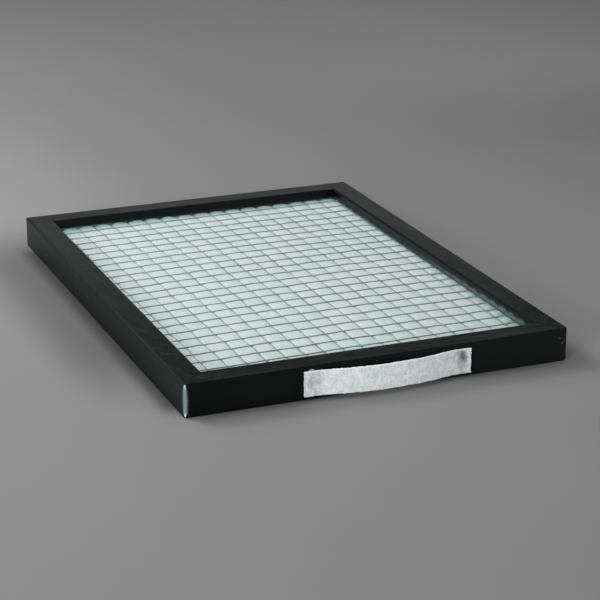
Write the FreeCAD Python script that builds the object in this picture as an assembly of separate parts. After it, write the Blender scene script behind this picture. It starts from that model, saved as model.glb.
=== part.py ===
import FreeCAD, Part
import math
import os

from FreeCAD import Vector

# Panel air filter: one folded plastic strip holds a fibre pad between two wire meshes.
# X runs across the filter, Y from the pull strap to the back, Z up.
# The origin is the middle of the frame's underside. All sizes are in millimetres.

# Frame strip
frame_width = 250.0
frame_depth = 350.0
frame_height = 21.5
wall = 1.2
flange_width = 16.0
lip_height = 6.5
corner_inside_radius = 1.8
edge_fold_radius = 1.1
mitre_gap = 0.3
open_mitre_gap = 1.0
cut_overrun = 2.0
near = 0.01

# Wire meshes
wire_diameter = 0.7
wire_sides = 8
mesh_pitch_across = 12.5
mesh_pitch_along = 13.1
mesh_edge_gap = 7.5
upper_mesh_turn = 1.2
upper_mesh_shift_x = -0.85
upper_mesh_shift_y = -2.05
seat_gap = 0.05

# Fibre pad
pad_edge_gap = 0.5
pad_bead_clearance = 0.4

# Glue
joint_bead_radius = 3.0
mitre_glue_end_gap = 1.6
mitre_glue_hollow = 0.2

# Pull strap and the glue behind its ends
strap_length = 108.5
strap_tab_length = 10.0
strap_thickness = 1.6
strap_bow = 5.5
strap_blend_radius = 14.0
strap_top_margin = 3.0
strap_bottom_margin = 2.7
strap_centre_x = 3.3
strap_glue_thickness = 0.4
strap_glue_width = 5.0
strap_glue_end_gap = 5.0
left_glue_overshoot = 1.0
left_glue_length = 11.0
right_glue_drop = 1.5
right_glue_length = 8.0

# Sizes that follow from the ones above
hollow_width = frame_width - 2 * wall
hollow_depth = frame_depth - 2 * wall
window_width = frame_width - 2 * flange_width
window_depth = frame_depth - 2 * flange_width
corner_outside_radius = corner_inside_radius + wall
upper_seat = frame_height - lip_height
lower_seat = lip_height
mesh_stack = 2 * wire_diameter + 3 * seat_gap
strap_top = frame_height - strap_top_margin


def block(width, depth, low, high):
    """A box centred on the Z axis, from one height to another."""
    return Part.makeBox(width, depth, high - low, Vector(-width / 2, -depth / 2, low))


def is_upright(edge):
    box = edge.BoundBox
    return box.XLength < near and box.YLength < near


def is_level_at(edge, heights):
    box = edge.BoundBox
    return any(abs(box.ZMin - z) < near and abs(box.ZMax - z) < near for z in heights)


def is_joint_corner(edge):
    """True at the back left corner, where the two ends of the strip meet."""
    middle = edge.BoundBox.Center
    return middle.x < 0 and middle.y > 0


def folded_block(width, depth, low, high, radius):
    """A box whose upright edges are rounded where the strip is folded."""
    solid = block(width, depth, low, high)
    folds = [edge for edge in solid.Edges if is_upright(edge) and not is_joint_corner(edge)]
    return solid.makeFillet(radius, folds)


def round_level_edges(solid, inside_window):
    """Rounds the long folds: those round the outside, or those round the window."""
    edges = []
    for edge in solid.Edges:
        middle = edge.BoundBox.Center
        in_window = abs(middle.x) < window_width / 2 + near and abs(middle.y) < window_depth / 2 + near
        if is_level_at(edge, (0, frame_height)) and in_window == inside_window:
            edges.append(edge)
    return solid.makeFillet(edge_fold_radius, edges)


def lip(low, high):
    """The inner edge of a flange, turned towards the pad all round the window."""
    outside = block(window_width + 2 * wall, window_depth + 2 * wall, low, high)
    return outside.cut(block(window_width, window_depth, low, high))


def mitre_slit(side_x, side_y):
    """The cut between two flanges, from the window's corner to the fold in the wall.

    At the back right corner the fold didn't close all the way.
    """
    gap = open_mitre_gap if side_x > 0 and side_y > 0 else mitre_gap
    inner = Vector(side_x * window_width / 2, side_y * window_depth / 2, 0)
    outer = Vector(side_x * hollow_width / 2, side_y * hollow_depth / 2, 0)
    run = outer - inner
    set_back = corner_inside_radius * (math.sqrt(2) - 1)
    length = run.Length + cut_overrun - set_back
    slit = Part.makeBox(length, gap, frame_height, Vector(-cut_overrun, -gap / 2, 0))
    slit.rotate(Vector(0, 0, 0), Vector(0, 0, 1), math.degrees(math.atan2(run.y, run.x)))
    slit.translate(inner)
    return slit


def joint_seam():
    """The open seam at the back left corner: the back wall butts on the left wall."""
    start = Vector(-hollow_width / 2, hollow_depth / 2 - mitre_gap, 0)
    return Part.makeBox(mitre_gap, wall + mitre_gap + cut_overrun, frame_height, start)


def frame_channel():
    """One strip of C section, notched and folded round the pad."""
    outside = folded_block(frame_width, frame_depth, 0, frame_height, corner_outside_radius)
    outside = round_level_edges(outside, inside_window=False)
    hollow = folded_block(hollow_width, hollow_depth, wall, frame_height - wall, corner_inside_radius)
    channel = outside.cut(hollow)
    channel = channel.fuse([lip(wall, lower_seat), lip(upper_seat, frame_height - wall)])
    channel = channel.cut(block(window_width, window_depth, -cut_overrun, frame_height + cut_overrun))
    channel = round_level_edges(channel.removeSplitter(), inside_window=True)
    cuts = [mitre_slit(side_x, side_y) for side_x in (-1, 1) for side_y in (-1, 1)]
    return channel.cut(cuts + [joint_seam()])


def spread(sheet_length, pitch):
    """Places of the wires that fit in a sheet, centred on it."""
    cells = int(sheet_length // pitch)
    return [(index - cells / 2) * pitch for index in range(cells + 1)]


def wire(length):
    """A straight wire along X with flats above and below, its middle at the origin."""
    step = 2 * math.pi / wire_sides
    reach = wire_diameter / 2 / math.cos(step / 2)
    corners = []
    for index in range(wire_sides + 1):
        angle = index * step + step / 2
        corners.append(Vector(-length / 2, reach * math.sin(angle), reach * math.cos(angle)))
    return Part.Face(Part.makePolygon(corners)).extrude(Vector(length, 0, 0))


def wire_mesh(cross_level, long_level):
    """Short wires across the filter, laid on long wires that run from front to back."""
    sheet_width = hollow_width - 2 * mesh_edge_gap
    sheet_depth = hollow_depth - 2 * mesh_edge_gap
    short_wire = wire(sheet_width)
    long_wire = wire(sheet_depth).rotated(Vector(0, 0, 0), Vector(0, 0, 1), 90)
    wires = [short_wire.translated(Vector(0, y, cross_level)) for y in spread(sheet_depth, mesh_pitch_along)]
    wires += [long_wire.translated(Vector(x, 0, long_level)) for x in spread(sheet_width, mesh_pitch_across)]
    return Part.makeCompound(wires)


def upper_mesh():
    """The mesh under the upper lip. It lies slightly turned in the frame."""
    cross_level = upper_seat - seat_gap - wire_diameter / 2
    mesh = wire_mesh(cross_level, cross_level - wire_diameter - seat_gap)
    mesh.rotate(Vector(0, 0, 0), Vector(0, 0, 1), upper_mesh_turn)
    mesh.translate(Vector(upper_mesh_shift_x, upper_mesh_shift_y, 0))
    return mesh


def lower_mesh():
    """The mesh that carries the pad, on the lower lip."""
    cross_level = lower_seat + seat_gap + wire_diameter / 2
    return wire_mesh(cross_level, cross_level + wire_diameter + seat_gap)


def filter_pad():
    """The fibre pad, cut to fill the channel and squeezed between the meshes."""
    corner_radius = (joint_bead_radius + pad_bead_clearance) / (math.sqrt(2) - 1)
    pad = block(hollow_width - 2 * pad_edge_gap, hollow_depth - 2 * pad_edge_gap,
                lower_seat + mesh_stack, upper_seat - mesh_stack)
    return pad.makeFillet(corner_radius, [edge for edge in pad.Edges if is_upright(edge)])


def joint_glue():
    """A bead down the inside of the corner where the strip's ends meet."""
    foot = Vector(-hollow_width / 2, hollow_depth / 2, wall)
    height = frame_height - 2 * wall
    bead = Part.makeCylinder(joint_bead_radius, height, foot, Vector(0, 0, 1), 90)
    bead.rotate(foot, Vector(0, 0, 1), -90)
    return bead


def mitre_glue():
    """Glue in the open mitre of the upper flange, its face drawn in between the two edges."""
    half = open_mitre_gap / 2 - seat_gap
    corners = [Vector(0, half, -seat_gap), Vector(0, half, -wall),
               Vector(0, -half, -wall), Vector(0, -half, -seat_gap)]
    face = Part.Arc(corners[-1], Vector(0, 0, -seat_gap - mitre_glue_hollow), corners[0]).toShape()
    section = Part.Face(Part.Wire(Part.makePolygon(corners).Edges + [face]))
    inner = Vector(window_width / 2, window_depth / 2, frame_height)
    run = Vector(hollow_width / 2, hollow_depth / 2, frame_height) - inner
    glue = section.extrude(Vector(run.Length - 2 * mitre_glue_end_gap, 0, 0))
    glue.translate(Vector(mitre_glue_end_gap, 0, 0))
    glue.rotate(Vector(0, 0, 0), Vector(0, 0, 1), math.degrees(math.atan2(run.y, run.x)))
    glue.translate(inner)
    return glue


def strap_face_edges(offset):
    """One face of the strap seen from above: flat tab, blend, bow, blend, flat tab."""
    half_length = strap_length / 2
    half_span = half_length - strap_tab_length
    turn = 2 * math.atan(strap_bow / half_span)
    bow_radius = half_span / math.sin(turn) - strap_blend_radius + offset
    blend_radius = strap_blend_radius - offset

    def on_blend(angle):
        return Vector(half_span - blend_radius * math.sin(angle),
                      offset + blend_radius * (1 - math.cos(angle)), 0)

    def mirrored(point):
        return Vector(-point.x, point.y, 0)

    crown = Vector(0, strap_bow + offset, 0)
    bow_end = Vector(bow_radius * math.sin(turn), crown.y - bow_radius * (1 - math.cos(turn)), 0)
    tab_end = Vector(half_length, offset, 0)
    tab_root = Vector(half_span, offset, 0)
    blend_middle = on_blend(turn / 2)
    return [
        Part.LineSegment(mirrored(tab_end), mirrored(tab_root)).toShape(),
        Part.Arc(mirrored(tab_root), mirrored(blend_middle), mirrored(bow_end)).toShape(),
        Part.Arc(mirrored(bow_end), crown, bow_end).toShape(),
        Part.Arc(bow_end, blend_middle, tab_root).toShape(),
        Part.LineSegment(tab_root, tab_end).toShape(),
    ]


def strap_outline():
    """The strap's section from above, with the frame's side at Y = 0 and the bow at Y > 0."""
    ends = []
    for side in (-1, 1):
        near = Vector(side * strap_length / 2, 0, 0)
        ends.append(Part.LineSegment(near, near + Vector(0, strap_thickness, 0)).toShape())
    edges = strap_face_edges(0) + strap_face_edges(strap_thickness) + ends
    return Part.Wire(Part.__sortEdges__(edges))


def pull_strap():
    """A felt strap, fixed flat at both ends and bowed out between them for a finger."""
    strap = Part.Face(strap_outline()).extrude(Vector(0, 0, strap_top - strap_bottom_margin))
    strap.rotate(Vector(0, 0, 0), Vector(0, 0, 1), 180)
    strap.translate(Vector(strap_centre_x, -frame_depth / 2 - strap_glue_thickness, strap_bottom_margin))
    return strap


def glue_smear(x, low, high):
    """A flat smear of glue with round ends on the frame's front wall."""
    radius = strap_glue_width / 2
    front = -frame_depth / 2
    out = Vector(0, -1, 0)
    smear = Part.makeBox(strap_glue_width, strap_glue_thickness, high - low - 2 * radius,
                         Vector(x - radius, front - strap_glue_thickness, low + radius))
    for z in (low + radius, high - radius):
        smear = smear.fuse(Part.makeCylinder(radius, strap_glue_thickness, Vector(x, front, z), out))
    return smear.removeSplitter()


def strap_glue_left():
    """Glue behind the left tab. It shows above the strap."""
    x = strap_centre_x - strap_length / 2 + strap_glue_end_gap
    high = strap_top + left_glue_overshoot
    return glue_smear(x, high - left_glue_length, high)


def strap_glue_right():
    x = strap_centre_x + strap_length / 2 - strap_glue_end_gap
    high = strap_top - right_glue_drop
    return glue_smear(x, high - right_glue_length, high)


nodes = {
    "frame_channel": frame_channel,
    "upper_mesh": upper_mesh,
    "lower_mesh": lower_mesh,
    "filter_pad": filter_pad,
    "joint_glue": joint_glue,
    "mitre_glue": mitre_glue,
    "pull_strap": pull_strap,
    "strap_glue_left": strap_glue_left,
    "strap_glue_right": strap_glue_right,
}

os.makedirs("parts", exist_ok=True)
for name, make in nodes.items():
    shape = make()
    shape.exportStep(f"parts/{name}.step")
    box = shape.BoundBox
    print(f"{name}: {len(shape.Solids)} solids, valid {shape.isValid()}, volume {shape.Volume:.0f},",
          f"box {box.XMin:.2f} {box.YMin:.2f} {box.ZMin:.2f} to {box.XMax:.2f} {box.YMax:.2f} {box.ZMax:.2f}")
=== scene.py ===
import math

import bpy
import numpy as np
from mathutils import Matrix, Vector


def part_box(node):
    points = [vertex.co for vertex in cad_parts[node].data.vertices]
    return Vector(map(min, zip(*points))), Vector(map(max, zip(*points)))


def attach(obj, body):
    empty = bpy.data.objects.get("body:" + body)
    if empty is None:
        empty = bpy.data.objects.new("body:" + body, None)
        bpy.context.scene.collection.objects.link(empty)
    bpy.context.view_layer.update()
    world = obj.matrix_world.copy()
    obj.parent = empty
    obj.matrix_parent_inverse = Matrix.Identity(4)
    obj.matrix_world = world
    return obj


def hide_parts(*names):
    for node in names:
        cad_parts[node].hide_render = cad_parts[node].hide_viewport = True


# Panel air filter: fibre pad between two wire meshes in a folded black plastic frame, with a felt strap.
# X runs across the filter, Y from the strap side to the back, Z up. All sizes are in metres.

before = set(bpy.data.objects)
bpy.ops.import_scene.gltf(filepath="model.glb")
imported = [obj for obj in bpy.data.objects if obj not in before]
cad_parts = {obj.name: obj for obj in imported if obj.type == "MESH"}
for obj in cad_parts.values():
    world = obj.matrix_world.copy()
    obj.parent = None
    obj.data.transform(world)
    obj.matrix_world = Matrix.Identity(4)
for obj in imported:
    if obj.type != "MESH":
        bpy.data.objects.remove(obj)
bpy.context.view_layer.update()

MM = 0.001

# Frame and window
frame_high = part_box("frame_channel")[1]
frame_height = frame_high.z
half_width = frame_high.x
half_depth = frame_high.y
flange_width = 16 * MM
lip_height = 6.5 * MM
wall = 1.2 * MM
window_x = half_width - flange_width
window_y = half_depth - flange_width
upper_seat = frame_height - lip_height
lower_seat = lip_height

# Wire meshes
wire_diameter = 0.7 * MM
seat_gap = 0.05 * MM
mesh_pitch_across = 12.5 * MM
mesh_pitch_along = 13.1 * MM
mesh_edge_gap = 7.5 * MM
upper_mesh_turn = math.radians(1.2)
upper_mesh_shift = (-0.85 * MM, -2.05 * MM)
mesh_crown = 1.4 * MM
wire_sides = 10
steps_per_cell = 5
upper_mesh_seed = 11
lower_mesh_seed = 12

# Gentle bends of each wire; a bend's own length and size are shares of the ones named here
bends_per_wire = 3
bend_length = 35 * MM
bend_length_shares = (0.6, 1.8)
bend_size = 0.38 * MM
bend_size_shares = (0.25, 0.75)

# Fibre pad
pad_step = 1.55 * MM
pad_corner_radius = 8.2 * MM
pad_below_wires = 0.16 * MM
pad_groove_reach = 0.95 * MM
pad_groove_shape = 1.7
pad_edge_round = 1.6 * MM
pad_edge_thin = 0.35
pad_swell = 0.15 * MM
pad_swell_place = 4 * MM
pad_swell_reach = 6 * MM
pad_lump = 0.18 * MM
pad_lump_fade = 3 * MM
pad_dip_start = 1.2 * MM
pad_dip_reach = 2.2 * MM
pad_tuft = 1.25 * MM
pad_tuft_reach = 2.1 * MM
pad_tuft_gap = 3 * MM
pad_tuft_uneven = 0.25
pad_tufts_left_to_right = (1.0, 0.4)
pad_tufts_front_to_back = (1.2, 0.3)
cell_lift = 0.07 * MM
cell_lean = 0.022
upper_face_seed = 21
lower_face_seed = 31

# Pull strap
strap_low, strap_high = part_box("pull_strap")
strap_tab_length = 10 * MM
strap_thickness = 1.6 * MM
strap_blend_radius = 14 * MM
strap_steps = 190
strap_sides = 60
strap_edge_power = 0.5
strap_face_power = 0.28
strap_wobble = 0.15 * MM
strap_nap = 0.10
strap_fray = 0.20 * MM
strap_end_fray = 0.35 * MM
strap_end_points = 17
strap_wobble_seed = 41
strap_nap_seed = 42
strap_fray_seed = 44
strap_end_seed = 45

# Colours of the frame
plastic_dark = (0.0012, 0.0016, 0.0018)
plastic_smeared = (0.0045, 0.0054, 0.0056)
plastic_scuffed = (0.040, 0.053, 0.054)
plastic_hazed = (0.013, 0.015, 0.0155)
plastic_edge_painted_sheen = (0.030, 0.037, 0.038)
plastic_dusty = (0.10, 0.11, 0.11)
plastic_scratched = (0.17, 0.185, 0.185)
fold_pale_with_highlight = (0.20, 0.265, 0.28)
fold_white_with_highlight = (0.66, 0.72, 0.72)
strands_deep_shade = (0.024, 0.040, 0.041)
strands_soft_shade = (0.21, 0.28, 0.275)

# Colours of the pad and the wires
fleece_deep = (0.430, 0.562, 0.548)
fleece_light = (0.745, 0.840, 0.828)
fleece_warm = (0.70, 0.725, 0.705)
fleece_back_shade = (0.250, 0.430, 0.412)
fleece_side_shade = (0.120, 0.235, 0.240)
fleece_darkest = (0.030, 0.065, 0.070)
fleece_front_shade = (0.30, 0.38, 0.375)
wire_deep = (0.195, 0.275, 0.275)
wire_light = (0.325, 0.42, 0.415)
wire_painted_light = (0.60, 0.66, 0.65)

# Colours of the strap and the glue
felt_deep = (0.555, 0.615, 0.66)
felt_light = (0.975, 0.99, 1.0)
felt_smudged = (0.27, 0.34, 0.39)
felt_damp = (0.29, 0.37, 0.42)
felt_spotted = (0.08, 0.12, 0.15)
felt_edge_highlight = (0.93, 0.94, 0.95)
glue_deep = (0.30, 0.34, 0.35)
glue_light = (0.48, 0.52, 0.53)
mitre_glue_dark = (0.008, 0.010, 0.011)
mitre_glue_pale = (0.13, 0.145, 0.145)

# Scratched specks on the front wall: place across, height and reach
scratched_specks = (
    (119.3 * MM, 15.6 * MM, 0.45 * MM),
    (122.2 * MM, 13.2 * MM, 0.35 * MM),
    (124.3 * MM, 15.4 * MM, 0.40 * MM),
    (120.8 * MM, 12.1 * MM, 0.55 * MM),
)

# Relief of the plastic in millimetres; from a place along Y on, it slopes ever more towards the front
draw_line_depth = 0.006
rail_wave_depth = 0.35
corner_sag_depth = 1.4
corner_sag_reach = 55 * MM
slope_start = 0.10
slope_growth = 72

# Fibres on the lips: where they start and are thickest, how far up they reach and how softly they end
strands_start = 0.06
strands_thickest = -0.13
strand_length = 8 * MM
strand_rise_in_front = 1 * MM
strand_rise_between_wires = 1.6 * MM
strand_fade = 0.8 * MM

# Shade on the pad: from the inner to the outer reach of each row, how ragged it is, and the darkest edge
back_shade = (2 * MM, 18 * MM)
right_shade = (2.5 * MM, 13 * MM)
near_shade_reach = 7 * MM
back_ragged = 16 * MM
right_ragged = 12 * MM
right_bays = 2.5 * MM
back_edge_shade = (0.5 * MM, 4.5 * MM)
right_edge_shade = (0.5 * MM, 4 * MM)

# Glue that shows through the felt: place across, height, inner and outer reach, share of the raggedness.
# Height counts less than width, so each stain is taller than wide.
stain_ragged = 5 * MM
stain_height_share = 0.4
left_streak = (strap_low.x + 3.6 * MM, 10.8 * MM, 0.6 * MM, 3.2 * MM, 0.7)
left_smudge = (strap_low.x + 6.5 * MM, 12.5 * MM, 0.8 * MM, 5.0 * MM, 1.0)
right_damp = (strap_high.x - 6.5 * MM, 12.0 * MM, 1.5 * MM, 6.0 * MM, 1.0)

# The dark spot at the strap's right end, which leans
spot_place = strap_high.x - 5.4 * MM
spot_height = 14 * MM
spot_inner = 0.5 * MM
spot_outer = 4.0 * MM
spot_wisps = 6 * MM
spot_lean = 0.3
spot_squash = 0.7

# Painted pools of light and a painted shadow on the ground: grey level, share, and where each starts and is
# full, along X and along Y
floor_painted_light_and_shadow = (
    # Painted light far behind
    (0.39, 0.8, (), ((0.3, 1.0),)),
    # Painted light far behind on the right
    (0.455, 0.8, ((0.15, 0.55),), ((0.3, 0.6),)),
    # Painted light behind the left half of the back rail
    (0.38, 0.45, ((0.02, -0.10),), ((0.15, 0.27), (0.65, 0.40))),
    # Painted shadow beside the left rail
    (0.13, 0.78, ((-0.184, -0.144), (0.02 - half_width, -0.002 - half_width)),
     ((-0.17, -0.05), (0.24, 0.12))),
)
# Reach and fade of the painted shadow along the left and front walls
left_contact_reach = 14 * MM
left_contact_fade = 0.15
front_contact_reach = 9 * MM
front_contact_fade = 0.10


def ease(share):
    """A share from 0 to 1 that starts and ends softly."""
    return share * share * (3 - 2 * share)


def smooth_noise(size, cell, seed):
    """A grid of smooth values from -1 to 1. A cell is the number of steps between two random values."""
    rng = np.random.default_rng(seed)
    coarse = rng.uniform(-1, 1, (int(size[0] / cell) + 4, int(size[1] / cell) + 4))
    rows = np.arange(size[0]) / cell
    columns = np.arange(size[1]) / cell
    row = rows.astype(int)
    column = columns.astype(int)
    past_row = ease(rows - row)[:, None]
    past_column = ease(columns - column)[None, :]
    left = coarse[row][:, column] * (1 - past_row) + coarse[row + 1][:, column] * past_row
    right = coarse[row][:, column + 1] * (1 - past_row) + coarse[row + 1][:, column + 1] * past_row
    return left * (1 - past_column) + right * past_column


def make_piece(name, vertices, faces):
    """A smooth mesh object from vertices and faces, in the frame of the CAD part."""
    mesh = bpy.data.meshes.new(name)
    mesh.from_pydata([tuple(v) for v in vertices], [], [tuple(f) for f in faces])
    mesh.validate()
    mesh.polygons.foreach_set("use_smooth", [True] * len(mesh.polygons))
    piece = bpy.data.objects.new(name, mesh)
    bpy.context.scene.collection.objects.link(piece)
    return piece


def grid_faces(rows, columns, start=0, flip=False):
    """Quads of a grid of vertices that are numbered row by row."""
    index = start + np.arange(rows * columns).reshape(rows, columns)
    quads = np.stack([index[:-1, :-1], index[:-1, 1:], index[1:, 1:], index[1:, :-1]], -1).reshape(-1, 4)
    return quads[:, ::-1] if flip else quads


def ring_faces(rings, sides, start=0):
    """The vertex numbers of a row of rings, and the quads between the rings."""
    index = start + np.arange(rings * sides).reshape(rings, sides)
    turned = np.roll(index, -1, axis=1)
    quads = np.stack([index[:-1], index[1:], turned[1:], turned[:-1]], -1).reshape(-1, 4)
    return index, quads.tolist()


# Wire meshes


def spread(sheet_length, pitch):
    """Places of the wires that fit in a sheet, centred on it."""
    cells = int(sheet_length // pitch)
    return (np.arange(cells + 1) - cells / 2) * pitch


sheet_width = 2 * (half_width - wall - mesh_edge_gap)
sheet_depth = 2 * (half_depth - wall - mesh_edge_gap)
cross_places = spread(sheet_depth, mesh_pitch_along)
long_places = spread(sheet_width, mesh_pitch_across)


def crown(x, y):
    """How far the pad pushes a mesh out in the middle of the window."""
    across = np.clip(1 - (x / window_x) ** 2, 0, 1)
    along = np.clip(1 - (y / window_y) ** 2, 0, 1)
    return mesh_crown * across * along


def new_bends(rng):
    """Random lengths, phases and sizes of the gentle bends in one wire."""
    lengths = bend_length * rng.uniform(*bend_length_shares, bends_per_wire)
    phases = rng.uniform(0, 2 * math.pi, bends_per_wire)
    sizes = bend_size * rng.uniform(*bend_size_shares, bends_per_wire)
    return list(zip(lengths, phases, sizes))


def sway(bends, along):
    """How far a wire with these bends is from straight, at places along it."""
    return sum(size * np.sin(2 * math.pi * along / length + phase) for length, phase, size in bends)


class MeshLayer:
    """One wire mesh: its turn and shift in the frame, which way the pad pushes it, and its wires' bends."""

    def __init__(self, seat, outward, turn, shift, seed):
        self.outward = outward
        self.turn = turn
        self.shift = shift
        self.cross_level = seat - outward * (seat_gap + wire_diameter / 2)
        self.long_level = self.cross_level - outward * (wire_diameter + seat_gap)
        rng = np.random.default_rng(seed)
        self.cross_bends = [new_bends(rng) for _ in cross_places]
        self.long_bends = [new_bends(rng) for _ in long_places]

    def to_frame(self, u, v):
        """Places on the sheet as places in the frame."""
        cosine, sine = math.cos(self.turn), math.sin(self.turn)
        return u * cosine - v * sine + self.shift[0], u * sine + v * cosine + self.shift[1]

    def to_sheet(self, x, y):
        """Places in the frame as places on the sheet."""
        cosine, sine = math.cos(self.turn), math.sin(self.turn)
        x, y = x - self.shift[0], y - self.shift[1]
        return x * cosine + y * sine, -x * sine + y * cosine


upper_layer = MeshLayer(upper_seat, 1, upper_mesh_turn, upper_mesh_shift, upper_mesh_seed)
lower_layer = MeshLayer(lower_seat, -1, 0.0, (0.0, 0.0), lower_mesh_seed)


def tube(centre, radius, sides, first):
    """Vertices and faces of a round wire along a line of points, closed at both ends."""
    ahead = np.gradient(centre, axis=0)
    ahead /= np.linalg.norm(ahead, axis=1)[:, None]
    side = np.cross(ahead, (0, 0, 1))
    side /= np.linalg.norm(side, axis=1)[:, None]
    up = np.cross(side, ahead)
    angles = 2 * math.pi * np.arange(sides) / sides
    ring = side[:, None] * np.cos(angles)[None, :, None] + up[:, None] * np.sin(angles)[None, :, None]
    vertices = (centre[:, None] + radius * ring).reshape(-1, 3)
    index, faces = ring_faces(len(centre), sides, first)
    faces.append(index[0].tolist())
    faces.append(index[-1][::-1].tolist())
    return vertices, faces


def wire_mesh(name, layer):
    """All wires of one mesh: short wires across and, inside them, long wires from front to back."""
    vertices, faces, count = [], [], 0
    for is_cross, places, all_bends, cells, length, level in (
        (True, cross_places, layer.cross_bends, len(long_places), sheet_width, layer.cross_level),
        (False, long_places, layer.long_bends, len(cross_places), sheet_depth, layer.long_level),
    ):
        run = np.linspace(-length / 2, length / 2, cells * steps_per_cell)
        for place, bends in zip(places, all_bends):
            aside = place + sway(bends, run)
            x, y = layer.to_frame(run, aside) if is_cross else layer.to_frame(aside, run)
            centre = np.stack([x, y, level + layer.outward * crown(x, y)], -1)
            new_vertices, new_faces = tube(centre, wire_diameter / 2, wire_sides, count)
            vertices.append(new_vertices)
            faces += new_faces
            count += len(new_vertices)
    return make_piece(name, np.concatenate(vertices), faces)


# Fibre pad


def distance_to_wires(across, along, places, all_bends):
    """Distance of each point to the nearest wire of a set, along the sheet."""
    lines = [np.abs(across - (place + sway(bends, along))) for place, bends in zip(places, all_bends)]
    return np.min(lines, axis=0)


def cell_relief(u, v, seed):
    """Small height and lean of the pad in each cell of a mesh."""
    column = np.floor((u - long_places[0]) / mesh_pitch_across).astype(int) + 1
    row = np.floor((v - cross_places[0]) / mesh_pitch_along).astype(int) + 1
    rng = np.random.default_rng(seed)
    lift, lean_u, lean_v = rng.uniform(-1, 1, (3, len(long_places) + 1, len(cross_places) + 1))
    column, row = np.clip(column, 0, len(long_places)), np.clip(row, 0, len(cross_places))
    from_middle_u = u - long_places[0] - (column - 0.5) * mesh_pitch_across
    from_middle_v = v - cross_places[0] - (row - 0.5) * mesh_pitch_along
    slope = lean_u[column, row] * from_middle_u + lean_v[column, row] * from_middle_v
    return cell_lift * lift[column, row] + cell_lean * slope


def tuft_ridge(to_lip, to_wire):
    """A ridge along a lip that stops short of each wire's end."""
    beside_lip = np.exp(-((to_lip / pad_tuft_reach - 1) ** 2))
    clear_of_wire = 1 - np.exp(-((to_wire / pad_tuft_gap) ** 2))
    return beside_lip * clear_of_wire


def edge_tufts(x, y, to_cross, to_long, seed):
    """Fibre that swells up against the lips between the wires, most at the back left and front right."""
    at_back = tuft_ridge(window_y - y, to_long)
    at_back = at_back * np.interp(x, (-window_x, window_x), pad_tufts_left_to_right)
    at_right = tuft_ridge(window_x - x, to_cross)
    at_right = at_right * np.interp(y, (-window_y, window_y), pad_tufts_front_to_back)
    uneven = 1 - pad_tuft_uneven + pad_tuft_uneven * smooth_noise(x.shape, cell=4, seed=seed)
    return pad_tuft * np.maximum(at_back, at_right) * uneven


def pad_face(x, y, layer, seed):
    """Height of the pad's face against one mesh: held at the wires, swelling between them."""
    u, v = layer.to_sheet(x, y)
    to_cross = distance_to_wires(v, u, cross_places, layer.cross_bends)
    to_long = distance_to_wires(u, v, long_places, layer.long_bends)
    near_cross = np.exp(-((to_cross / pad_groove_reach) ** pad_groove_shape))
    near_long = np.exp(-((to_long / pad_groove_reach) ** pad_groove_shape))
    out = layer.outward
    top = layer.cross_level * out - pad_below_wires + cell_relief(u, v, seed + 2)
    under_cross = layer.cross_level * out - wire_diameter / 2
    under_long = layer.long_level * out - wire_diameter / 2
    height = top - np.maximum((top - under_cross) * near_cross, (top - under_long) * near_long)
    to_lip = np.minimum(window_x - np.abs(x), window_y - np.abs(y))
    swell = np.clip(1 - np.abs(to_lip - pad_swell_place) / pad_swell_reach, 0, 1)
    height += pad_swell * swell * (1 - near_long) * (1 - near_cross)
    lumps = smooth_noise(x.shape, cell=5, seed=seed) * 0.6
    lumps = lumps + smooth_noise(x.shape, cell=2, seed=seed + 1) * 0.4
    lumps = lumps * np.clip(to_lip / pad_lump_fade, 0, 1) * (1 - np.maximum(near_cross, near_long))
    height += pad_lump * lumps
    if layer is upper_layer:
        height += edge_tufts(x, y, to_cross, to_long, seed + 3)
    # At the lip and under it the pad's face stays inside the long wires
    under_lip = ease(np.clip((pad_dip_start - to_lip) / pad_dip_reach, 0, 1))
    limit = under_long - seat_gap
    height = height * (1 - under_lip) + np.minimum(height, limit) * under_lip
    return out * (height + crown(x, y))


def filter_pad():
    """The fibre pad, pressed into pillows by the two meshes and squeezed flat in the channel."""
    low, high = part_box("filter_pad")
    rows = int((high.x - low.x) / pad_step)
    columns = int((high.y - low.y) / pad_step)
    x, y = np.meshgrid(np.linspace(low.x, high.x, rows), np.linspace(low.y, high.y, columns), indexing="ij")
    over_x = np.abs(x) - (high.x - pad_corner_radius)
    over_y = np.abs(y) - (high.y - pad_corner_radius)
    in_corner = (over_x > 0) & (over_y > 0)
    pull = np.where(in_corner, np.maximum(over_x, over_y) / np.maximum(np.hypot(over_x, over_y), 1e-9), 1)
    x = np.where(in_corner, np.sign(x) * (high.x - pad_corner_radius + over_x * pull), x)
    y = np.where(in_corner, np.sign(y) * (high.y - pad_corner_radius + over_y * pull), y)
    middle = (low.z + high.z) / 2
    rim = np.minimum(high.x - np.abs(x), high.y - np.abs(y))
    rim = np.clip(rim / pad_edge_round, 0, 1)
    thin = pad_edge_thin + (1 - pad_edge_thin) * np.sqrt(1 - (1 - rim) ** 2)
    heights = [pad_face(x, y, upper_layer, upper_face_seed), pad_face(x, y, lower_layer, lower_face_seed)]
    sheets = [np.stack([x, y, middle + (z - middle) * thin], -1).reshape(-1, 3) for z in heights]
    count = rows * columns
    top = grid_faces(rows, columns, flip=True)
    under = grid_faces(rows, columns, start=count)
    index = np.arange(count).reshape(rows, columns)
    edge = np.concatenate([index[:, 0], index[-1, 1:], index[-2::-1, -1], index[0, -2:0:-1]])
    beside = np.roll(edge, -1)
    side = np.stack([edge, edge + count, beside + count, beside], -1)
    return make_piece("fibre_pad", np.concatenate(sheets), np.concatenate([top, under, side[:, ::-1]]))


# Pull strap


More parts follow.
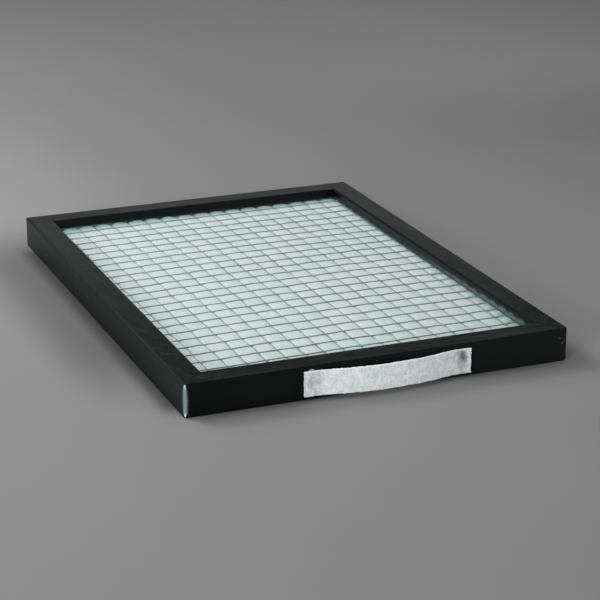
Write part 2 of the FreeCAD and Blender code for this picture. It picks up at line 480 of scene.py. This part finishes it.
def strap_line(count):
    """Points along the strap's middle, over a tab, a blend, the bow, a blend and a tab.

    Also the way out at each point, and the whole length.
    """
    half_length = (strap_high.x - strap_low.x) / 2
    half_span = half_length - strap_tab_length
    bow = strap_high.y - strap_low.y - strap_thickness
    turn = 2 * math.atan(bow / half_span)
    middle = strap_thickness / 2
    bow_radius = half_span / math.sin(turn) - strap_blend_radius + middle
    blend_radius = strap_blend_radius - middle
    to_blend = turn * bow_radius
    to_tab = to_blend + turn * blend_radius
    half_flat = to_tab + strap_tab_length
    points, outs = [], []
    for place in np.linspace(-half_flat, half_flat, count):
        side, far = (-1 if place < 0 else 1), abs(place)
        if far < to_blend:
            lean = far / bow_radius
            x = bow_radius * math.sin(lean)
            out = bow + middle - bow_radius * (1 - math.cos(lean))
        elif far < to_tab:
            lean = turn - (far - to_blend) / blend_radius
            x = half_span - blend_radius * math.sin(lean)
            out = middle + blend_radius * (1 - math.cos(lean))
        else:
            lean = 0
            x = half_span + far - to_tab
            out = middle
        points.append((side * x, out))
        outs.append((side * math.sin(lean), math.cos(lean)))
    return np.array(points), np.array(outs), 2 * half_flat


def squared_off(wave, power):
    """A wave from -1 to 1, made fuller by a power under 1."""
    return np.sign(wave) * np.abs(wave) ** power


def felt_strap():
    """The felt strap, with soft, slightly uneven faces and edges, and its length laid flat."""
    grid = (strap_steps, strap_sides)
    points, outs, length = strap_line(strap_steps)
    angles = np.linspace(0, 2 * math.pi, strap_sides, endpoint=False)
    ring_z = squared_off(np.sin(angles), strap_edge_power)
    ring_out = squared_off(np.cos(angles), strap_face_power)
    to_edge = np.abs(ring_z)[None, :]
    wobble = smooth_noise((strap_steps, 2), cell=9, seed=strap_wobble_seed)[:, :1] * strap_wobble
    nap = smooth_noise(grid, cell=2, seed=strap_nap_seed) * 0.6
    nap = nap + smooth_noise(grid, cell=6, seed=strap_nap_seed + 1) * 0.4
    frayed = smooth_noise(grid, cell=1.6, seed=strap_fray_seed) * strap_fray * to_edge
    thick = strap_thickness / 2 * ring_out[None, :] * (1 + strap_nap * nap)
    x = (strap_low.x + strap_high.x) / 2 + points[:, :1] + outs[:, :1] * thick
    y = strap_high.y - (points[:, 1:] + outs[:, 1:] * thick)
    half_height = (strap_high.z - strap_low.z) / 2
    middle_z = (strap_high.z + strap_low.z) / 2
    z = middle_z + half_height * ring_z[None, :] + frayed + wobble * to_edge
    rng = np.random.default_rng(strap_end_seed)
    for end in (0, -1):
        cut = rng.uniform(-strap_end_fray, strap_end_fray, strap_end_points)
        x[end] += np.interp(ring_z, np.linspace(-1, 1, strap_end_points), cut)
    index, faces = ring_faces(strap_steps, strap_sides)
    for end, flip in ((index[0], True), (index[-1], False)):
        loop = np.roll(end, strap_sides // 4).tolist()
        for k in range(strap_sides // 2 - 1):
            quad = [loop[k], loop[k + 1], loop[strap_sides - 2 - k], loop[strap_sides - 1 - k]]
            faces.append(quad[::-1] if flip else quad)
    return make_piece("felt_strap", np.stack([x, y, z], -1).reshape(-1, 3), faces), length


# Materials

# Socket numbers of the Mix node for colours, because its socket names repeat
mix_share, mix_first, mix_second, mix_result = 0, 6, 7, 2


class Value:
    """A socket of a shader node, with arithmetic that adds the nodes it needs."""

    def __init__(self, tree, socket):
        self.tree = tree
        self.socket = socket

    def __add__(self, other):
        return self.tree.maths("ADD", self, other)

    def __radd__(self, other):
        return self.tree.maths("ADD", other, self)

    def __sub__(self, other):
        return self.tree.maths("SUBTRACT", self, other)

    def __rsub__(self, other):
        return self.tree.maths("SUBTRACT", other, self)

    def __mul__(self, other):
        return self.tree.maths("MULTIPLY", self, other)

    def __rmul__(self, other):
        return self.tree.maths("MULTIPLY", other, self)

    def __gt__(self, other):
        return self.tree.maths("GREATER_THAN", self, other)

    def absolute(self):
        return self.tree.maths("ABSOLUTE", self)

    def least(self, other):
        return self.tree.maths("MINIMUM", self, other)

    def most(self, other):
        return self.tree.maths("MAXIMUM", self, other)

    def between(self, start, end, first=0.0, last=1.0):
        """The first value at the start, the last at the end, smooth in between. The end may be lower."""
        values = {"Value": self, "From Min": start, "From Max": end, "To Min": first, "To Max": last}
        return self.tree.add("ShaderNodeMapRange", {"interpolation_type": "SMOOTHSTEP"}, values)


class NodeTree:
    """The nodes of a material or of the world."""

    def __init__(self, tree):
        self.nodes = tree.nodes
        self.links = tree.links

    def add(self, kind, settings=None, values=None, output=0):
        """One node of a type, with its settings, and the values or links of its sockets."""
        node = self.nodes.new(kind)
        for name, value in (settings or {}).items():
            setattr(node, name, value)
        for name, value in (values or {}).items():
            if isinstance(value, Value):
                self.links.new(value.socket, node.inputs[name])
            else:
                node.inputs[name].default_value = value
        return Value(self, node.outputs[output])

    def maths(self, operation, *values):
        return self.add("ShaderNodeMath", {"operation": operation}, dict(enumerate(values)))

    def axes(self, vector):
        split = self.add("ShaderNodeSeparateXYZ", None, {0: vector})
        return [Value(self, socket) for socket in split.socket.node.outputs]


class Material(NodeTree):
    """A procedural material. Constants go on the shader's own sockets."""

    def __init__(self, name, **constants):
        self.data = bpy.data.materials.new(name)
        self.data.use_nodes = True
        super().__init__(self.data.node_tree)
        self.shader = self.nodes["Principled BSDF"]
        for socket, value in constants.items():
            self.shader.inputs[socket.replace("_", " ")].default_value = value

    def place(self):
        """Where a point is on the part, in metres."""
        return self.add("ShaderNodeTexCoord", output="Object")

    def vector(self, x, y, z):
        return self.add("ShaderNodeCombineXYZ", None, {0: x, 1: y, 2: z})

    def noise(self, where, grain, detail=3.0, roughness=0.55):
        """Smooth random values from 0 to 1, one grain apart."""
        return self.add("ShaderNodeTexNoise", None,
                        {"Vector": where, "Scale": 1 / grain, "Detail": detail, "Roughness": roughness})

    def mix(self, share, first, second):
        """A colour from the first, at share 0, to the second, at 1."""
        first = first if isinstance(first, Value) else (*first, 1)
        second = second if isinstance(second, Value) else (*second, 1)
        return self.add("ShaderNodeMix", {"data_type": "RGBA"},
                        {mix_share: share, mix_first: first, mix_second: second}, mix_result)

    def spot(self, where, centre, inner, outer, blur=0.0):
        """1 within the inner distance of a point, 0 beyond the outer one."""
        away = self.add("ShaderNodeVectorMath", {"operation": "DISTANCE"}, {0: where, 1: centre}, "Value")
        return (away + blur).between(outer, inner)

    def set(self, **links):
        for socket, value in links.items():
            self.links.new(value.socket, self.shader.inputs[socket.replace("_", " ")])

    def bump(self, height, strength, depth):
        values = {"Height": height, "Strength": strength, "Distance": depth}
        self.set(Normal=self.add("ShaderNodeBump", None, values))


def up_at(value, level):
    """1 where a coordinate is at a level, 0 from a little below it."""
    return (value - level).between(-0.4 * MM, -0.1 * MM)


def within(value, limit):
    """1 where a coordinate is nearer to the middle than a limit, 0 beyond it."""
    return (value.absolute() - limit).between(0, -0.4 * MM)


def on_face(value, level):
    """1 on a face at a level of a coordinate, 0 a little away from it on both sides."""
    return (value - level).absolute().between(0.5 * MM, 0.2 * MM)


def fading(away, reach):
    """1 within the inner of two reaches, 0 beyond the outer one."""
    inner, outer = reach
    return away.between(outer, inner)


def by_top_edge(paint, x, z, edge_x, inner, outer):
    """1 within the inner distance of a top edge of a side rail, 0 beyond the outer one."""
    return paint.spot(paint.vector(x - edge_x, 0, z - frame_height), (0, 0, 0), inner, outer)


def between_cross_wires(paint, y):
    """0 where a cross wire of the upper mesh meets the right lip, 1 midway between two.

    The mesh has an odd number of cells along, so its middle is midway between two wires.
    """
    middle = upper_mesh_shift[1] + window_x * math.sin(upper_mesh_turn)
    return paint.maths("COSINE", (y - middle) * (math.pi / mesh_pitch_along)).absolute()


def pale_fold_and_highlight(paint, x, y, z):
    """How far the fold at the front left corner is pale from stress whitening and from a painted highlight,
    and its colour: whitest near its two ends.
    """
    from_left, from_front = x + half_width, y + half_depth
    at_corner = (from_left + from_front).between(4.6 * MM, 3.6 * MM)
    from_fold = (from_left - from_front).absolute()
    from_middle = (z - frame_height / 2).absolute() * (2 / frame_height)
    near_ends = from_middle.between(0.66, 0.84)
    cloud = paint.noise(paint.vector(x * 0.3, y * 0.3, z), grain=2.5 * MM)
    ragged = (cloud - 0.5) * (0.8 * MM)
    reach = 3.3 * MM - near_ends * (1.5 * MM) - from_middle * (0.8 * MM) + ragged
    share = from_fold.between(reach, 0.4 * MM) * at_corner * from_middle.between(0.95, 0.88)
    return share, paint.mix(near_ends, fold_pale_with_highlight, fold_white_with_highlight)


def strands_on_lips(paint, where, x, y, z):
    """How thickly the pad's fibres hang on the right and back lips, and their colour, which is the fibres'
    tone in painted shade.
    """
    to_front = y.between(strands_start, strands_thickest)
    tufts = between_cross_wires(paint, y) * to_front
    on_right_lip = on_face(x, window_x) * within(y, window_y)
    on_back_lip = on_face(y, window_y) * within(x, window_x)
    strands = paint.noise(paint.vector(x, y, z * 0.4), grain=1.3 * MM, detail=4.0, roughness=0.75)
    strand_top = upper_seat + (strands - 0.35) * strand_length
    strand_top = strand_top + to_front * strand_rise_in_front + tufts * strand_rise_between_wires
    caught = on_right_lip.most(on_back_lip * 0.5) * (z - strand_top).between(strand_fade, -strand_fade)
    low_down = (to_front * 0.6 + tufts * 0.4) * (z - upper_seat).between(5.0 * MM, 0.5 * MM)
    patches = paint.noise(where, grain=0.9 * MM, detail=2.0, roughness=0.7).between(0.35, 0.6)
    return caught * 0.9, paint.mix(low_down * patches, strands_deep_shade, strands_soft_shade)


def black_plastic():
    """Extruded satin black plastic: faint draw lines along each rail, smears, scuffs, a fold pale from
    stress whitening with a painted highlight, a painted sheen on the left rail's outer edge, and pad fibres
    in painted shade on the lips.
    """
    paint = Material("black_extruded_plastic", Specular_IOR_Level=0.2, IOR=1.5,
                     Specular_Tint=(0.90, 0.99, 1.0, 1.0))
    where = paint.place()
    x, y, z = paint.axes(where)

    # Draw lines, smears and fine grain
    on_side_rail = (x.absolute() - window_x) > (y.absolute() - window_y)
    along_x = paint.noise(paint.vector(x * 0.03, y, z), grain=0.6 * MM, detail=2.0)
    along_y = paint.noise(paint.vector(x, y * 0.03, z), grain=0.6 * MM, detail=2.0)
    lines = along_x * (1 - on_side_rail) + along_y * on_side_rail
    smear = paint.noise(where, grain=22 * MM, detail=5.0, roughness=0.6)
    grain = paint.noise(where, grain=0.5 * MM, detail=2.0)
    tone = lines.between(0.3, 0.8) * 0.25 + smear.between(0.35, 0.75) * 0.5
    body = paint.mix(tone, plastic_dark, plastic_smeared)

    # Scuffs and flecks on the top, weaker on the outer sides
    scuffs = paint.noise(paint.vector(x, y + x * 0.5, z), grain=5 * MM, roughness=0.6)
    scuffs = scuffs.between(0.50, 0.66)
    flecks = paint.noise(where, grain=1.6 * MM, detail=2.0, roughness=0.7).between(0.56, 0.66)
    rubbed = up_at(z, frame_height).most(up_at(x.absolute(), half_width) * 0.4)
    body = paint.mix((scuffs * 0.20).most(flecks * 0.26) * rubbed, body, plastic_scuffed)

    # Haze on the front wall, a painted sheen along the left rail's outer top edge, dust and scratched
    # specks
    front_haze = x.between(-0.05, 0.11) * (y + half_depth).between(1 * MM, 0)
    body = paint.mix(front_haze * 0.45, body, plastic_hazed)
    outer_edge = by_top_edge(paint, x, z, -half_width, 0.9 * MM, 1.4 * MM)
    body = paint.mix(outer_edge * 0.4, body, plastic_edge_painted_sheen)
    dust = paint.noise(where, grain=0.9 * MM, detail=1.0).between(0.80, 0.86) * smear.between(0.5, 0.7)
    body = paint.mix(dust * 0.25, body, plastic_dusty)
    for speck_x, speck_z, reach in scratched_specks:
        speck = paint.spot(where, (speck_x, -half_depth, speck_z), 0.2 * MM, reach)
        body = paint.mix(speck, body, plastic_scratched)

    # The front left fold: pale from stress whitening, and lightened further as a painted highlight
    whitening_and_highlight, fold_colour = pale_fold_and_highlight(paint, x, y, z)
    body = paint.mix(whitening_and_highlight, body, fold_colour)
    # Pad fibres on the lips, coloured darker than the fleece as painted shade
    caught, strand_colour = strands_on_lips(paint, where, x, y, z)
    body = paint.mix(caught, body, strand_colour)

    # The top edges that face the window on the right rail and outwards on the left one are duller
    inner_edge = by_top_edge(paint, x, z, window_x, 0.6 * MM, 1.6 * MM)
    dull = (inner_edge * within(y, window_y) * 0.55).most(outer_edge * 0.65)
    paint.set(Base_Color=body, Roughness=0.24 + smear * 0.12 + scuffs * 0.07 + lines * 0.05 + dull)

    # Slow waves along each rail, a dip at the front right corner, and a slope that grows towards the front
    sag = paint.spot(where, (half_width, -half_depth, frame_height), 0, corner_sag_reach)
    along_rail = paint.vector(x * (0.25 + 0.75 * on_side_rail), y * (1 - 0.75 * on_side_rail), z)
    waves = paint.noise(along_rail, grain=9 * MM, detail=2.0)
    past_start = (slope_start - y).most(0)
    relief = (lines + grain) * draw_line_depth + waves * rail_wave_depth
    relief = relief - sag * corner_sag_depth - past_start * past_start * slope_growth
    paint.bump(relief, strength=1.0, depth=1 * MM)
    return paint.data


def pad_fibre():
    """Bonded polyester fleece, white with a blue-green cast that deepens where it is in shade."""
    paint = Material("bonded_fibre_fleece", Roughness=0.95, Specular_IOR_Level=0.15,
                     Sheen_Weight=0.2, Sheen_Roughness=0.5)
    where = paint.place()
    x, y, z = paint.axes(where)

    # Tangled fibres, and broad patches of a warmer white
    tangle = paint.noise(where, grain=1.4 * MM, detail=5.0, roughness=0.7)
    cloud = paint.noise(where, grain=9 * MM)
    one_way = paint.noise(paint.vector(x * 0.25 + y * 0.1, y * 1.4 - x * 0.4, z), grain=0.9 * MM)
    other_way = paint.noise(paint.vector(x * 1.4 + y * 0.5, y * 0.25 - x * 0.1, z), grain=0.9 * MM)
    fibres = one_way.most(other_way)
    fuzz = paint.noise(where, grain=0.7 * MM, roughness=0.7)
    light = fibres.between(0.40, 0.70) * 0.25 + tangle.between(0.3, 0.7) * 0.20
    light = light + fuzz.between(0.3, 0.7) * 0.45 + cloud * 0.25
    body = paint.mix(light, fleece_deep, fleece_light)
    warm = paint.noise(where, grain=28 * MM, detail=2.0).between(0.50, 0.66) * (cloud + 0.2).least(1)
    body = paint.mix(warm * 0.55, body, fleece_warm)

    # Ragged shade along the rows of cells beside the lips, deepest at the lips themselves
    along_back = paint.noise(paint.vector(x, y * 0.4, z), grain=3.0 * MM, detail=4.0, roughness=0.7)
    along_right = paint.noise(paint.vector(x * 0.3, y, z), grain=2.2 * MM, detail=4.0, roughness=0.7)
    ragged_back = (along_back - 0.5) * back_ragged
    ragged_right = (along_right - 0.5) * right_ragged
    to_left, to_back = x.between(-0.02, -0.10), y.between(-0.13, 0.06)
    bays = between_cross_wires(paint, y) * right_bays
    back_row = fading(window_y - y + ragged_back, back_shade)
    right_row = fading(window_x - x + ragged_right + bays, right_shade)
    right_deep = 0.36 + y.between(0.05, -0.12) * 0.42
    near_rows = (window_x + x).least(window_y + y).between(near_shade_reach, 0)
    body = paint.mix(back_row * (0.80 + to_left * 0.15), body, fleece_back_shade)
    body = paint.mix((right_row * right_deep).most(near_rows * 0.3), body, fleece_side_shade)
    back_darkest = fading(window_y - y + ragged_back * 0.5, back_edge_shade)
    right_darkest = fading(window_x - x + ragged_right * 0.5, right_edge_shade)
    darkest = back_darkest.most(to_back * right_darkest)
    body = paint.mix(darkest * (0.6 + to_left * 0.2), body, fleece_darkest)
    front_right = x.between(0.01, 0.11) * y.between(-0.03, -0.15)
    paint.set(Base_Color=paint.mix(front_right * 0.16, body, fleece_front_shade))
    paint.bump(fibres * 0.6 + tangle * 0.4, strength=0.6, depth=0.25 * MM)
    return paint.data


def dull_wire():
    """Galvanised wire, dull and greenish grey, with painted light that makes it a little lighter to the
    back left.
    """
    paint = Material("dull_galvanised_wire", Metallic=0.45, Specular_IOR_Level=0.4)
    where = paint.place()
    x, y, _ = paint.axes(where)
    patch = paint.noise(where, grain=3 * MM)
    fine = paint.noise(where, grain=0.3 * MM, detail=2.0)
    body = paint.mix(patch.between(0.3, 0.7), wire_deep, wire_light)
    # Painted light: the wires are lighter towards the back left
    to_back_left = (y - x).between(-0.08, 0.22)
    paint.set(Base_Color=paint.mix(to_back_left * 0.2, body, wire_painted_light), Roughness=0.40 + fine * 0.2)
    paint.bump(fine, strength=0.3, depth=0.03 * MM)
    return paint.data


def felt():
    """White needled felt with mottled nap. Glue behind the two ends shows through."""
    paint = Material("white_needled_felt", Roughness=0.95, Specular_IOR_Level=0.15,
                     Sheen_Weight=0.3, Sheen_Roughness=0.5)
    where = paint.place()
    x, y, z = paint.axes(where)
    mottle = paint.noise(where, grain=3.2 * MM, detail=4.0, roughness=0.65)
    nap = paint.noise(where, grain=0.8 * MM, detail=4.0, roughness=0.7)
    upright = paint.noise(paint.vector(x, y, z * 0.3), grain=1.2 * MM)
    light = mottle.between(0.35, 0.65) * 0.45 + nap.between(0.35, 0.65) * 0.3
    light = light + upright.between(0.35, 0.65) * 0.25
    body = paint.mix(light, felt_deep, felt_light)

    # A streak and a smudge at the left end, and a damp patch at the right one
    seen = paint.vector(x, 0, z * stain_height_share)
    blur = (mottle - 0.5) * stain_ragged

    def stain(place, height, inner, outer, ragged):
        return paint.spot(seen, (place, 0, stain_height_share * height), inner, outer, blur * ragged)

    body = paint.mix((stain(*left_streak) * 0.55).most(stain(*left_smudge) * 0.28), body, felt_smudged)
    body = paint.mix(stain(*right_damp) * 0.72, body, felt_damp)

    # A dark leaning spot with wisps at the right end, and a painted highlight on the cut edges at the top
    # and left
    leaning = paint.vector(x + z * spot_lean, 0, z * spot_squash)
    spot_centre = (spot_place + spot_lean * spot_height, 0, spot_squash * spot_height)
    spot = paint.spot(leaning, spot_centre, spot_inner, spot_outer, (nap - 0.5) * spot_wisps)
    body = paint.mix(spot * 0.88, body, felt_spotted)
    top_edge_highlight = (z - strap_high.z).between(-0.9 * MM, -0.2 * MM)
    left_edge_highlight = (x - strap_low.x).between(0.9 * MM, 0.2 * MM)
    paint.set(Base_Color=paint.mix(top_edge_highlight.most(left_edge_highlight) * 0.8, body, felt_edge_highlight))
    paint.bump(nap * 0.6 + mottle * 0.4, strength=0.7, depth=0.3 * MM)
    return paint.data


def cloudy_glue():
    """Cloudy hot glue, dark in the open mitre with a pale part along it."""
    paint = Material("cloudy_glue", Roughness=0.45, Transmission_Weight=0.25, IOR=1.48)
    where = paint.place()
    x, y, _ = paint.axes(where)
    cloud = paint.noise(where, grain=1.2 * MM)
    body = paint.mix(cloud, glue_deep, glue_light)
    past_x, past_y = x - window_x, y - window_y
    in_mitre = past_x.between(0, 1 * MM) * past_y.between(0, 1 * MM)
    along = (past_x + past_y) * 0.5
    pale = along.between(1 * MM, 3 * MM) * along.between(8 * MM, 5 * MM)
    mitre_colour = paint.mix(pale, mitre_glue_dark, mitre_glue_pale)
    paint.set(Base_Color=paint.mix(in_mitre, body, mitre_colour))
    paint.bump(cloud, strength=0.4, depth=0.1 * MM)
    return paint.data


def grey(level):
    """A neutral colour."""
    return (level, level, level)


def paper_floor():
    """Grey paper with uneven tones, painted pools of light behind the frame, and painted shadow beside two
    walls of the frame.
    """
    paint = Material("grey_paper_floor", Roughness=0.85, Specular_IOR_Level=0.2)
    where = paint.place()
    x, y, _ = paint.axes(where)
    cloud = paint.noise(where, grain=0.35)
    patch = paint.noise(where, grain=0.08, detail=2.0)
    fine = paint.noise(where, grain=2 * MM, detail=2.0)
    body = paint.mix(cloud * 0.5 + patch * 0.3 + fine * 0.2, grey(0.262), grey(0.296))

    # Painted pools of light behind the frame and a painted shadow beside the left rail
    for tone, share, along_x, along_y in floor_painted_light_and_shadow:
        for start, full in along_x:
            share = x.between(start, full) * share
        for start, full in along_y:
            share = y.between(start, full) * share
        body = paint.mix(share, body, grey(tone))

    # Painted shadow, darkest where the left and front walls stand on the ground, fading towards the ends of
    # the walls
    left_shade = (x + half_width).absolute().between(left_contact_reach, 0)
    left_shade = left_shade * y.absolute().between(half_depth, left_contact_fade)
    front_shade = (y + half_depth).absolute().between(front_contact_reach, 0)
    front_shade = front_shade * x.absolute().between(half_width, front_contact_fade)
    paint.set(Base_Color=paint.mix((left_shade * 0.85).most(front_shade * 0.35), body, grey(0.05)))
    return paint.data


def dress(piece, material):
    """The piece with this material alone."""
    piece.data.materials.clear()
    piece.data.materials.append(material)
    return piece


# The pieces

plastic = black_plastic()
fleece = pad_fibre()
wire_finish = dull_wire()
felt_finish = felt()
glue_finish = cloudy_glue()

dress(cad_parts["frame_channel"], plastic)
for name in ("joint_glue", "mitre_glue", "strap_glue_left", "strap_glue_right"):
    dress(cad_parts[name], glue_finish)

pad = dress(filter_pad(), fleece)
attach(pad, "root")
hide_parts("filter_pad")

for name, node, layer in (
    ("upper_wires", "upper_mesh", upper_layer),
    ("lower_wires", "lower_mesh", lower_layer),
):
    wires = dress(wire_mesh(name, layer), wire_finish)
    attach(wires, "root")
    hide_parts(node)

strap, strap_flat_length = felt_strap()
dress(strap, felt_finish)
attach(strap, "root")
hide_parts("pull_strap")

# Floor, lights and camera

floor_size = 30

bpy.ops.mesh.primitive_plane_add(size=floor_size, location=(0, 0, 0))
floor = bpy.context.object
floor.name = "floor"
dress(floor, paper_floor())


def soft_light(name, place, target, size, power):
    """A white soft box of a width and height, turned to a point."""
    data = bpy.data.lights.new(name, "AREA")
    data.shape = "RECTANGLE"
    data.size, data.size_y = size
    data.energy = power
    light = bpy.data.objects.new(name, data)
    light.location = place
    light.rotation_euler = (Vector(target) - Vector(place)).to_track_quat("-Z", "Y").to_euler()
    bpy.context.scene.collection.objects.link(light)


soft_light("key_box", place=(-0.50, 0.42, 0.56), target=(-0.03, 0.10, 0), size=(0.8, 0.7), power=3.4)
soft_light("front_left_box", place=(-1.25, -1.10, 0.38), target=(0, -0.15, 0), size=(0.8, 0.4), power=14.5)
soft_light("front_box", place=(-0.50, -1.50, 0.38), target=(0, -0.15, 0), size=(0.7, 0.4), power=4.4)
soft_light("overhead_box", place=(-0.1, -0.05, 0.62), target=(-0.1, -0.05, 0), size=(1.1, 0.75), power=2.2)
soft_light("back_floor_box", place=(-1.2, 1.5, 1.6), target=(0.3, 1.1, 0), size=(0.7, 0.6), power=16.5)

# Light from around: the paper's glow low down and a dark studio above it, both dimmer on the left.
# The two heights and the two sides are parts of a direction of length 1.
paper_glow = 0.57
dark_studio_glow = 0.02
paper_top = 0.290
studio_bottom = 0.335
left_side = -0.30
right_side = 0.20
left_share = 0.25


def studio_world():
    """The world, with a glow that depends on the way one looks."""
    world = bpy.data.worlds.new("studio")
    world.use_nodes = True
    sky = NodeTree(world.node_tree)
    x, _, z = sky.axes(sky.add("ShaderNodeTexCoord", output="Generated"))
    glow = z.between(paper_top, studio_bottom, paper_glow, dark_studio_glow)
    glow = glow * x.between(left_side, right_side, left_share, 1.0)
    background = sky.nodes["Background"]
    background.inputs["Color"].default_value = (1, 1, 1, 1)
    sky.links.new(glow.socket, background.inputs["Strength"])
    bpy.context.scene.world = world
    bpy.context.scene.view_settings.view_transform = "Standard"


studio_world()

camera_azimuth = math.radians(-22.02)
camera_elevation = math.radians(19.44)
camera_unit = 2 * half_width
camera_right_shift = -0.0652
camera_up_shift = 0.0852
camera_distance = 5.4195
focal_pixels = 2026.27
picture_pixels = 600
sensor_width = 36


def photo_camera():
    """The camera at the photograph's viewing angle."""
    azimuth, elevation = camera_azimuth, camera_elevation
    right = Vector((math.cos(azimuth), math.sin(azimuth), 0))
    up = Vector((-math.sin(azimuth) * math.sin(elevation), math.cos(azimuth) * math.sin(elevation),
                 math.cos(elevation)))
    back = right.cross(up)
    data = bpy.data.cameras.new("photo_camera")
    data.sensor_width = sensor_width
    data.lens = focal_pixels / picture_pixels * sensor_width
    camera = bpy.data.objects.new("photo_camera", data)
    offset = -camera_right_shift * right - camera_up_shift * up + camera_distance * back
    camera.location = Vector((0, 0, frame_height)) + camera_unit * offset
    camera.rotation_euler = (-back).to_track_quat("-Z", "Y").to_euler()
    bpy.context.scene.collection.objects.link(camera)
    bpy.context.scene.camera = camera


photo_camera()
